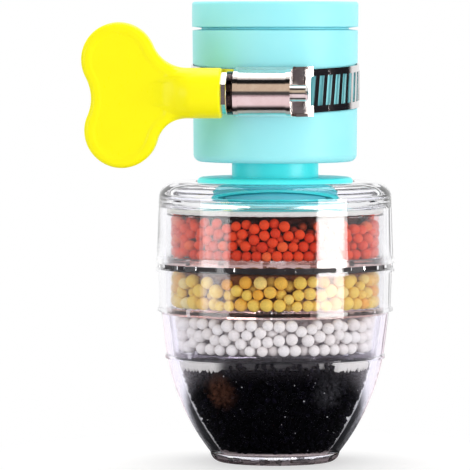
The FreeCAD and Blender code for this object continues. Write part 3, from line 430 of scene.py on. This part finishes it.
def tray_plastic(node, painted_shade_tint):
    """A tray's thin clear plastic, which bends light little, with painted shade and reflection on its floor."""
    return clear_plastic(node, (0.985, 0.985, 0.992), level_faces, 1.25, level(node)[0], painted_shade_tint)


cyan = gloss_material("cyan_plastic", (0.08, 0.97, 1.0), (0.10, 0.98, 1.0), 0.32, light_through=0.35)
lemon = gloss_material("yellow_plastic", (1.0, 0.93, 0.0), (1.0, 0.91, 0.0), 0.26, gloss=0.22)

FINISH = {
    "bowl": clear_plastic("clear_bowl", (0.965, 0.962, 0.988), inner_ledges, dull=(25.0, 30.0)),
    "top_cover": clear_plastic("clear_cover", (0.98, 0.98, 0.992), round_tail),
    # The trays' colours are painted shade and reflected bead colour for their floors
    "white_tray": tray_plastic("white_tray", (0.56, 0.545, 0.585)),
    "yellow_tray": tray_plastic("yellow_tray", (0.80, 0.70, 0.68)),
    "red_tray": tray_plastic("red_tray", (0.72, 0.50, 0.46)),
    "connector_seal": silicone_material("tail_seal", (0.20, 0.70, 0.82), (0.16, 0.66, 0.80), 0.45),
    # Painted shade: the cover seal's near-black rubber is a dark ring behind the cover's windows, in place of the
    # shade seen through them
    "cover_seal": silicone_material("dark_rubber", (0.020, 0.016, 0.018), (0.014, 0.012, 0.014), 0.4),
    "tap_seal": silicone_material("seal_rubber", (0.62, 0.64, 0.66), (0.55, 0.57, 0.60), 0.45),
    "connector": cyan,
    "connector_nut": cyan,
    "sleeve": silicone_material("aqua_rubber", (0.37, 0.90, 0.97), (0.33, 0.88, 0.96), 0.42),
    "clamp_band": steel_material("band_steel", (0.78, 0.75, 0.74), (0.70, 0.67, 0.67), 0.05, (1.0, 1.0, 8.0)),
    "clamp_housing": steel_material("housing_steel", (0.84, 0.78, 0.76), (0.76, 0.66, 0.63), 0.05, (0.4, 4.0, 4.0)),
    "clamp_screw": steel_material("screw_steel", (0.80, 0.78, 0.76), (0.66, 0.63, 0.60), 0.08, (5.0, 0.5, 0.5),
                                   stained=(-8.7, -7.3)),
    "thumb_key": lemon,
}
for node, material in FINISH.items():
    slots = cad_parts[node].data.materials
    slots.clear()
    slots.append(material)


# Bead beds


def settle(rng, sizes, inner, outer, low, high):
    """Let balls of these radii sink and push one another apart in the ring between two walls.
    inner and outer give the walls' radii at a height."""
    steps, steps_to_a_search, search, sinking, firmness = 240, 8, 1.35, 0.05, 0.42
    count = len(sizes)
    turn = rng.uniform(0, FULL_TURN, count)
    depth = rng.uniform(low, high, count)
    reach = np.sqrt(rng.uniform(inner(depth) ** 2, outer(depth) ** 2))
    place = around(reach, turn, depth)
    for step in range(steps):
        if step % steps_to_a_search == 0:
            gaps = np.linalg.norm(place[:, None] - place[None], axis=2)
            near = gaps < (sizes[:, None] + sizes[None]) * search
            one, two = np.nonzero(np.triu(near, 1))
        place[:, 2] -= sinking * (1 - step / steps)
        apart = place[one] - place[two]
        gap = np.maximum(np.linalg.norm(apart, axis=1), 1e-6)
        push = np.maximum(sizes[one] + sizes[two] - gap, 0) * firmness
        shift = apart / gap[:, None] * push[:, None]
        for axis in range(3):
            place[:, axis] += np.bincount(one, shift[:, axis], count) - np.bincount(two, shift[:, axis], count)
        place[:, 2] = np.clip(place[:, 2], low + sizes, high - sizes)
        reach = np.hypot(place[:, 0], place[:, 1])
        held = np.clip(reach, inner(place[:, 2]), outer(place[:, 2]) - sizes)
        place[:, :2] *= (held / reach)[:, None]
    return place


def bead_heap(low, high, radius, bead_radius):
    """The heap inside a bed's ring of beads, waisted between the beads' layers."""
    layers, tuck, brim_tuck, sunk = 8, 0.7, 1.4, 0.4
    heap = [(NEAR_AXIS, low), (radius - brim_tuck, low)]
    for i in range(1, layers):
        waist = 0.0 if i % 2 else -bead_radius * 0.5
        heap.append((radius + waist - tuck, low + (high - low) * i / layers))
    heap += [(radius - brim_tuck, high - sunk), (NEAR_AXIS, high - sunk)]
    return heap_form(heap, 96, 0.025, 37, 3)


def bead_bed(node, material, seed, bead_radius, spread, ring, fill, taper=0.0):
    """A bed's outer beads one by one, on a heap that fills the middle. ring is how deep the beads lie from the
    wall, fill the share of that ring that they take up, and taper how much narrower the wall is at its foot."""
    rng = np.random.default_rng(seed)
    low, high = level(node)
    wall = wall_of(node)
    foot_wall = wall - taper

    def outer(depth):
        return foot_wall + (wall - foot_wall) * np.clip((depth - low) / (high - low), 0, 1)

    def inner(depth):
        return outer(depth) - ring

    volume = math.pi * (wall**2 - (wall - ring) ** 2) * (high - low)
    count = int(fill * volume / (4 / 3 * math.pi * bead_radius**3))
    sizes = rng.normal(bead_radius, spread, count)
    sizes = np.clip(sizes, bead_radius - 2.2 * spread, bead_radius + 2.2 * spread)
    places = settle(rng, sizes, inner, outer, low, high)
    shapes = random_turns(rng, count) * (sizes[:, None, None] * rng.uniform(0.965, 1.0, (count, 1, 3)))
    points, faces = scatter(ball_form(3), places, shapes)
    heap_points, heap_faces = bead_heap(low, high, wall - ring, bead_radius)
    all_points = np.concatenate([points, heap_points])
    all_faces = np.concatenate([faces, heap_faces + len(points)])
    return stand_in(add_mesh(f"{node}_beads", all_points, all_faces, material), node)


# The last colour of each bed is the painted shade of its gaps
red = bead_material("red_beads", (0.90, 0.066, 0.010), (0.72, 0.030, 0.005), (0.95, 0.17, 0.04),
                    (0.07, 0.010, 0.006), "red_bed")
yellow = bead_material("yellow_beads", (0.98, 0.68, 0.12), (0.95, 0.42, 0.03), (0.98, 0.84, 0.42),
                       (0.34, 0.11, 0.025), "yellow_bed")
white = bead_material("white_beads", (0.98, 0.945, 0.92), (0.95, 0.90, 0.87), (0.98, 0.96, 0.95),
                      (0.32, 0.26, 0.25), "white_bed")
bead_bed("red_bed", red, seed=11, bead_radius=1.26, spread=0.05, ring=4.6, fill=0.645)
bead_bed("yellow_bed", yellow, seed=12, bead_radius=1.50, spread=0.20, ring=5.2, fill=0.66)
bead_bed("white_bed", white, seed=13, bead_radius=1.44, spread=0.06, ring=5.0, fill=0.64, taper=1.2)


# Carbon and the layers round it

# The bowl's lower cavity: (radius, height) at its floor and its mouth, and the radius of the arc between them
CAVITY_FLOOR, CAVITY_MOUTH, CAVITY_BEND = (13.5, 2.9), (23.7, 25.4), 51.5
# Where the felt over the carbon is teased out, as bearings in degrees from +X
TUFT_SPANS, TUFT_FADE = ((-168, -114), (-50, -14), (28, 74), (104, 150)), 5


def cavity_radius(height):
    """Radius of the bowl's lower cavity at a height."""
    run, rise = CAVITY_MOUTH[0] - CAVITY_FLOOR[0], CAVITY_MOUTH[1] - CAVITY_FLOOR[1]
    length = math.hypot(run, rise)
    back = math.sqrt(CAVITY_BEND**2 - length**2 / 4)
    centre_r = (CAVITY_FLOOR[0] + CAVITY_MOUTH[0]) / 2 - back * rise / length
    centre_z = (CAVITY_FLOOR[1] + CAVITY_MOUTH[1]) / 2 + back * run / length
    return centre_r + np.sqrt(CAVITY_BEND**2 - (np.asarray(height) - centre_z) ** 2)


def tufts(points):
    """How far the felt over the carbon is teased out at these points, from 0 to 1."""
    bearing = np.degrees(np.arctan2(points[:, 1], points[:, 0]))
    share = np.zeros(len(points))
    for start, end in TUFT_SPANS:
        share = np.maximum(share, np.clip(np.minimum(bearing - start, end - bearing) / TUFT_FADE, 0, 1))
    return share


def carbon_grains():
    """Broken grains packed against the cavity's wall, on a dark heap."""
    rng = np.random.default_rng(21)
    low, high = level("carbon_bed")
    brim = level("carbon_top_pad")[1] - 0.45
    # Each layer's depth behind the wall, its highest grain and how many grains it has
    layers = ((0.75, brim, 2500), (1.6, high + 0.1, 2000))
    widest, wall_gap, tuft_room = 24, 0.08, 1.3
    form, form_faces = ball_form(1)
    points, triangles, used = [], [], 0
    for depth, top, grains in layers:
        heights = rng.uniform(low + 0.3, top, grains * 2)
        keep = rng.uniform(0, 1, grains * 2) < cavity_radius(heights) / widest
        heights = heights[keep][:grains]
        count = len(heights)
        turn = rng.uniform(0, FULL_TURN, count)
        reach = cavity_radius(heights) - 0.3 - depth + rng.uniform(-0.1, 0.25, count)
        places = around(reach, turn, heights)
        sizes = rng.uniform(0.42, 0.78, (count, 1, 3))
        shapes = random_turns(rng, count) * sizes
        broken = np.repeat(form[None], count, 0) * rng.uniform(0.72, 1.15, (count, len(form), 1))
        made = (np.einsum("nij,npj->npi", shapes, broken) + places[:, None]).reshape(-1, 3)
        limit = cavity_radius(made[:, 2]) - wall_gap - tuft_room * tufts(made) * (made[:, 2] > high - 0.1)
        made[:, :2] *= np.minimum(1, limit / np.hypot(made[:, 0], made[:, 1]))[:, None]
        made[:, 2] = np.clip(made[:, 2], low + 0.02, None)
        points.append(made)
        triangles.append(repeat_faces(form_faces, count, len(form), used))
        used += len(made)
    foot = low + 0.1
    side = [(float(cavity_radius(z)) - 1.5, z) for z in np.linspace(foot, high, 14)]
    heap_points, heap_faces = heap_form([(NEAR_AXIS, foot), *side, (NEAR_AXIS, high)], 120, 0.012, 41, 5)
    points.append(heap_points)
    triangles.append(heap_faces + used)
    all_points, all_faces = np.concatenate(points), np.concatenate(triangles)
    return stand_in(add_mesh("carbon_grains", all_points, all_faces, carbon_material(), smooth=False), "carbon_bed")


carbon_grains()


def waver(turn, waves, seed):
    """A smooth random wave round the axis, from -1 to 1."""
    rng = np.random.default_rng(seed)
    total = np.zeros_like(turn)
    for wave in waves:
        total += rng.uniform(0.4, 1.0) * np.sin(turn * wave + rng.uniform(0, FULL_TURN))
    return total / len(waves)


def felt_pad(node, edge, ragged, hang, seed, material):
    """A fibre pad with an uneven edge: edge gives the wall's radius at a height, ragged how uneven its lower edge
    is, and hang how far its tufts reach down. Between its tufts such a pad stands back from the wall."""
    low, high = level(node)
    segments, side_rows, stand_back = 540, 9, 1.5
    turn = np.linspace(0, FULL_TURN, segments, endpoint=False)
    rough = waver(turn, (5, 11, 23, 41, 67, 90), seed)
    tuft = tufts(np.stack([np.cos(turn), np.sin(turn)], -1))
    strands = np.clip(0.5 + 1.5 * waver(turn, (37, 58, 83, 121, 150), seed + 3), 0, 1)
    bottom = low + 0.3 + ragged * (0.5 - 0.5 * rough) - hang * strands * tuft
    withdrawn = stand_back * (1 - tuft) * (hang > 0)
    rings = []
    for share in (0.02, 0.35, 0.7, 0.93):
        lift = 0.12 * waver(turn, (4, 9, 17), seed + 7) * (share > 0.3)
        rings.append(around(share * float(edge(high)), turn, high - 0.14 + lift))
    for row in range(side_rows):
        share = row / (side_rows - 1)
        height = (high - 0.1) * (1 - share) + bottom * share
        bulge = (math.sin(math.pi * (0.25 + 0.5 * share)) - 1) * (1 - 0.75 * tuft * share)
        reach = edge(height) - 0.1 - withdrawn + 0.9 * bulge + 0.06 * waver(turn, (31, 53, 77), seed + row)
        rings.append(around(reach, turn, height))
    underside = low + 0.25
    for share in (0.985, 0.9, 0.5, 0.02):
        reach = share * (edge(low) - 0.45 - withdrawn)
        height = np.maximum(bottom, underside) if share > 0.95 else np.full(segments, underside)
        rings.append(around(reach, turn, height))
    i, j = np.meshgrid(np.arange(len(rings) - 1), np.arange(segments), indexing="ij")
    k = (j + 1) % segments
    quads = np.stack([i * segments + j, (i + 1) * segments + j, (i + 1) * segments + k, i * segments + k], -1)
    pad = add_mesh(f"{node}_felt", np.concatenate(rings), quads.reshape(-1, 4), material)
    stand_in(pad, node)
    return pad


def lid_wall(height):
    """Radius of the straight wall round the top pad, at any height."""
    return np.full_like(np.asarray(height, float), wall_of("top_pad"))


felt_pad("carbon_top_pad", cavity_radius, ragged=0.5, hang=1.1, seed=31, material=felt_material("darkened_felt", 0.94))
felt_pad("top_pad", lid_wall, ragged=0.25, hang=0.0, seed=32, material=felt_material("felt", 0.0))


def outlet_screen():
    """A disc of mesh with a rounded rim."""
    low, high = level("outlet_screen")
    rim, bevel, near_axis = wall_of("outlet_screen"), 0.15, 0.02
    rings = [(near_axis, low), (rim - bevel, low), (rim, (low + high) / 2), (rim - bevel, high), (rim * 0.5, high),
             (near_axis, high)]
    return stand_in(add_mesh("outlet_screen_cloth", *lathe(rings, 96), mesh_material()), "outlet_screen")


outlet_screen()


# Thumb key: X is along the screw and up is across it, in the plane of the wing

KEY_CORNER = 0.6
KEY_HEART = np.array([-33.0, 0.0])
PLATE_HALF, PLATE_ROUND = 2.3, 1.4
RECESS_DEPTH, RECESS_RADIUS, RECESS_CENTRE = 0.28, 20.9, (-43.9, 0.6)
CLAMP_LEAN = math.radians(3.3)


def arc(centre, radius, start, end, count):
    """Points on an arc, with angles in radians."""
    angles = np.linspace(start, end, count)
    return np.stack([centre[0] + radius * np.cos(angles), centre[1] + radius * np.sin(angles)], -1)


def key_outline(end, barrel):
    """The key's edge seen from the front, from its mouth over the upper lobe: two lobes with a hollow between
    them, and hollow flanks that run out on the barrel. end is the mouth's X, barrel the barrel's radius."""
    lobe_radius, lobe_offset, lobe_x = 8.85, 8.45, -34.5
    notch_radius, notch_sag, flank_foot = 10.1, 0.45, -18.7
    pivot, droop = np.array([-20.0, 0.0]), math.radians(2.0)
    notch_half = math.asin(lobe_offset / (lobe_radius + notch_radius))
    corner = KEY_CORNER
    halves = []
    for sign in (1, -1):
        lobe = np.array([lobe_x, sign * lobe_offset]) - pivot
        lobe = pivot + [lobe[0] * math.cos(droop) - lobe[1] * math.sin(droop),
                        lobe[0] * math.sin(droop) + lobe[1] * math.cos(droop)]
        across, rise = flank_foot - lobe[0], sign * lobe[1] - barrel
        flank = (across**2 + rise**2 - lobe_radius**2) / (2 * (lobe_radius + rise))
        centre = np.array([flank_foot, sign * (barrel + flank)])
        towards = lobe - centre
        tangent = math.atan2(sign * towards[1], towards[0]) % FULL_TURN
        half = np.concatenate([
            arc((end - corner, barrel - corner), corner, 0, math.pi / 2, 8),
            arc((centre[0], sign * centre[1]), flank, -math.pi / 2, tangent - FULL_TURN, 60),
            arc((lobe[0], sign * lobe[1]), lobe_radius, tangent - math.pi, math.pi + notch_half, 150),
        ])
        half[:, 1] *= sign
        halves.append(half)
    upper, lower = halves
    share = np.linspace(0, 1, 42)[1:-1, None]
    chord = lower[-1] - upper[-1]
    sag = notch_sag * np.linalg.norm(chord) * share * (1 - share)
    notch = upper[-1] + chord * share + sag * np.array([1.0, 0.0])
    mouth = np.stack([np.full(24, end), np.linspace(-(barrel - corner), barrel - corner, 26)[1:-1]], -1)
    return np.concatenate([upper, notch, lower[::-1], mouth])


def smooth_step(measure, low, high):
    """A smooth share from 0 to 1 between two limits."""
    share = np.clip((measure - low) / (high - low), 0, 1)
    return share * share * (3 - 2 * share)


def distance_to_outline(grid, outline):
    """How far each point is from the nearest edge of a closed outline."""
    nearest = np.full(len(grid), 1e9)
    for start, run in zip(outline, np.roll(outline, -1, axis=0) - outline):
        place = np.clip(((grid - start) @ run) / max(run @ run, 1e-9), 0, 1)
        nearest = np.minimum(nearest, np.linalg.norm(grid - start - place[:, None] * run, axis=1))
    return nearest


def key_thickness(grid, outline, end, barrel):
    """Half the key's thickness at points in its plane: a plate with a rounded edge that runs into a round barrel,
    with a shallow recess in each side of the plate."""
    x, up = grid[:, 0], grid[:, 1]
    from_edge = distance_to_outline(grid, outline)
    inset = PLATE_ROUND - np.minimum(from_edge, PLATE_ROUND)
    plate = PLATE_HALF - PLATE_ROUND + np.sqrt(PLATE_ROUND**2 - inset**2)
    plate = plate * (1 - smooth_step(x, -22.5, -17.5))
    near_end = KEY_CORNER - np.clip(end - x, 0, KEY_CORNER)
    radius = barrel - KEY_CORNER + np.sqrt(KEY_CORNER**2 - near_end**2)
    tube = np.sqrt(np.maximum(radius**2 - up**2, 0)) * smooth_step(x, -27.5, -17.0)
    fillet = 2.2 * (1 - smooth_step(x, -20.5, -17.0)) + 0.01
    overlap = np.maximum(fillet - np.abs(plate - tube), 0)
    thick = np.maximum(plate, tube) + overlap**2 / (4 * fillet)
    inside_arc = RECESS_RADIUS - np.hypot(x - RECESS_CENTRE[0], up - RECESS_CENTRE[1])
    return thick - RECESS_DEPTH * smooth_step(from_edge, 1.9, 2.9) * smooth_step(inside_arc, -0.5, 0.5)


def thumb_key():
    """The key as one moulding, in rings from the heart of its wing out to its edge, on its front and its back."""
    box_low, box_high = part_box("thumb_key")
    screw_low, screw_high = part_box("clamp_screw")
    axis_y, axis_z = (screw_low.y + screw_high.y) / 2 / MM, (screw_low.z + screw_high.z) / 2 / MM
    end, barrel = box_high.x / MM, axis_y - box_low.y / MM
    outline = key_outline(end, barrel)
    rays, rings = len(outline), 46
    share = 1 - (1 - np.linspace(0, 1, rings)) ** 2.2
    grid = (KEY_HEART + share[1:, None, None] * (outline - KEY_HEART)).reshape(-1, 2)
    thick = key_thickness(grid, outline, end, barrel)
    upward = np.array([0, -math.sin(CLAMP_LEAN), math.cos(CLAMP_LEAN)])
    frontward = np.array([0, -math.cos(CLAMP_LEAN), -math.sin(CLAMP_LEAN)])
    axis = np.array([0, axis_y, axis_z])
    base = axis + grid[:, :1] * [1, 0, 0] + grid[:, 1:] * upward
    front, back = base + thick[:, None] * frontward, base - thick[:, None] * frontward
    heart = axis + KEY_HEART[0] * np.array([1, 0, 0])
    depth = PLATE_HALF - RECESS_DEPTH
    points = np.concatenate([front, back, [heart + depth * frontward, heart - depth * frontward]])
    count = len(grid)
    ray = np.arange(rays)
    following = (ray + 1) % rays
    faces = []
    for side in (0, 1):
        for ring in range(rings - 2):
            start = side * count + ring * rays
            faces.append(np.stack([start + ray, start + following, start + following + rays, start + ray + rays], -1))
    rim = (rings - 2) * rays
    faces.append(np.stack([rim + ray, rim + following, rim + following + count, rim + ray + count], -1))
    key = add_mesh("thumb_key_moulding", points, np.concatenate(faces), lemon)
    form = bmesh.new()
    form.from_mesh(key.data)
    form.verts.ensure_lookup_table()
    for side in (0, 1):
        for one, two in zip(ray, following):
            corners = [2 * count + side, side * count + one, side * count + two]
            form.faces.new([form.verts[corner] for corner in corners]).smooth = True
    bmesh.ops.recalc_face_normals(form, faces=form.faces)
    form.to_mesh(key.data)
    form.free()
    key.data.set_sharp_from_angle(angle=math.radians(50))
    return stand_in(key, "thumb_key", "screw")


thumb_key()


# Camera, placed in metres

CAMERA_TURN, CAMERA_DIP = math.radians(6.0), math.radians(2.83)
camera = bpy.data.objects.new("camera", bpy.data.cameras.new("camera"))
scene.collection.objects.link(camera)
camera.location = (0.0963, -1.0095, 0.105)
across = math.cos(CAMERA_DIP)
ahead = Vector((-math.sin(CAMERA_TURN) * across, math.cos(CAMERA_TURN) * across, -math.sin(CAMERA_DIP)))
camera.rotation_euler = ahead.to_track_quat("-Z", "Y").to_euler()
camera.data.sensor_width = 36
camera.data.lens = 320
camera.data.clip_start, camera.data.clip_end = 0.05, 20
scene.camera = camera


# Floor, backdrop and light


def floor_paint():
    """Pale paint that keeps the object's shadow. To the camera and in clear plastic it fades to plain white, and
    in gloss it has a painted shadow near the object and is a tinted wall further off."""
    s = Shading("floor_paint")
    reach = s.distance()
    pale = s.mix(s.noise(0.02, 3.0), (0.62, 0.62, 0.62), (0.60, 0.60, 0.60))
    matt = s.node("ShaderNodeBsdfDiffuse", {"Color": pale}).outputs[0]
    lift = s.node("ShaderNodeEmission", {"Color": (*WHITE, 1), "Strength": 0.42}).outputs[0]
    near = s.node("ShaderNodeAddShader", {0: matt, 1: lift}).outputs[0]
    far = s.node("ShaderNodeEmission", {"Color": (*WHITE, 1), "Strength": 1.0}).outputs[0]
    shown = s.either(s.spread(reach, 30, 75), near, far)
    room = s.mix(s.past_first("Transmission Depth"), (0.90, 0.74, 0.79), (0.85, 0.84, 0.93))
    # Painted shadow: in gloss the floor is near-black within about 50 mm of the object
    dim = s.mix(s.spread(reach, 50, 85), (0.02, 0.02, 0.022), room)
    mirrored = s.node("ShaderNodeBsdfDiffuse", {"Color": dim}).outputs[0]
    seen = s.math("MAXIMUM", s.ray("Is Camera Ray"), s.ray("Is Transmission Ray"))
    return s.finish(s.either(s.past_first("Glossy Depth"), s.either(seen, matt, shown), mirrored))


FLOOR_HALF = 320.0
floor_corners = [(x * FLOOR_HALF, y * FLOOR_HALF, 0) for x, y in ((-1, -1), (1, -1), (1, 1), (-1, 1))]
floor = add_mesh("floor", floor_corners, [(0, 1, 2, 3)], floor_paint())


def studio_world():
    """White behind the object and to the camera, soft fill for matt surfaces that is fullest in front, and for
    gloss a dim room with a white wall behind and overhead."""
    world = bpy.data.worlds.new("studio")
    scene.world = world
    world.use_nodes = True
    s = Shading(world=world)
    way = s.node("ShaderNodeTexCoord").outputs["Generated"]
    rise = s.node("ShaderNodeSeparateXYZ", {0: way}).outputs[2]
    towards = (math.sin(CAMERA_TURN), -math.cos(CAMERA_TURN), 0)
    front = s.node("ShaderNodeVectorMath", {0: way, 1: towards}, operation="DOT_PRODUCT").outputs["Value"]
    # From the back of the room, 0, to its front, 1, and from the back by way of the floor and the front to overhead
    across = s.remap(front, -1.0, 1.0)
    over = s.remap(s.math("ARCTAN2", rise, front), -math.pi, math.pi)
    dark, grey = (0.015, 0.014, 0.018), (0.07, 0.065, 0.065)
    round_room = s.ramp(across, (0.18, *WHITE), (0.23, *dark), (0.72, *dark), (0.84, *grey), (1.0, *grey))
    up_over = s.ramp(
        over,
        (0.20, 0.01, 0.012, 0.012),
        (0.24, 0.60, 0.46, 0.50),
        (0.485, 0.66, 0.50, 0.54),
        (0.50, 0.70, 0.56, 0.43),
        (0.625, 0.74, 0.60, 0.46),
        (0.64, 0.01),
        (0.70, 0.01),
        (0.715, 1.0, 1.0, 0.97),
        (1.0, *WHITE),
    )
    steep = s.remap(s.math("ABSOLUTE", rise), 0.12, 0.22)
    fill = s.ramp(across, (0.5, 0.58), (1.0, 0.95))
    through_clear = s.ramp(across, (0.62, 1.0), (0.80, 0.12))
    seen = s.mix(s.ray("Is Glossy Ray"), fill, s.mix(steep, round_room, up_over))
    seen = s.mix(s.ray("Is Transmission Ray"), seen, through_clear)
    seen = s.mix(s.ray("Is Camera Ray"), seen, WHITE)
    s.finish(s.node("ShaderNodeBackground", {"Color": seen, "Strength": 1.0}).outputs[0])


studio_world()


def softbox(name, bearing, distance, height, size, watts, colour=WHITE):
    """A rectangular studio light that faces the object's middle. Its bearing is in degrees from the camera towards
    the right, and its distance, height and size are in metres."""
    lamp = bpy.data.lights.new(name, "AREA")
    lamp.shape = "RECTANGLE"
    lamp.size, lamp.size_y = size
    lamp.energy = watts
    lamp.color = colour
    thing = bpy.data.objects.new(name, lamp)
    scene.collection.objects.link(thing)
    thing.visible_camera = False
    angle = CAMERA_TURN + math.radians(bearing)
    thing.location = (distance * math.sin(angle), -distance * math.cos(angle), height)
    target = Vector((0, 0, 0.055))
    thing.rotation_euler = (target - thing.location).to_track_quat("-Z", "Y").to_euler()


softbox("right_light", 58, 1.4, 0.06, (0.80, 0.30), 8.2, (1.0, 0.97, 0.94))
softbox("left_light", -63, 1.4, 0.10, (0.80, 0.50), 3.6)
softbox("top_light", 180, 0.35, 1.25, (1.3, 0.8), 10.0)

# The clear walls are nested, so light needs many turns to come through them
scene.cycles.max_bounces = 32
scene.cycles.transmission_bounces = 32
scene.cycles.glossy_bounces = 16
scene.cycles.transparent_max_bounces = 32
scene.view_settings.view_transform = "Standard"
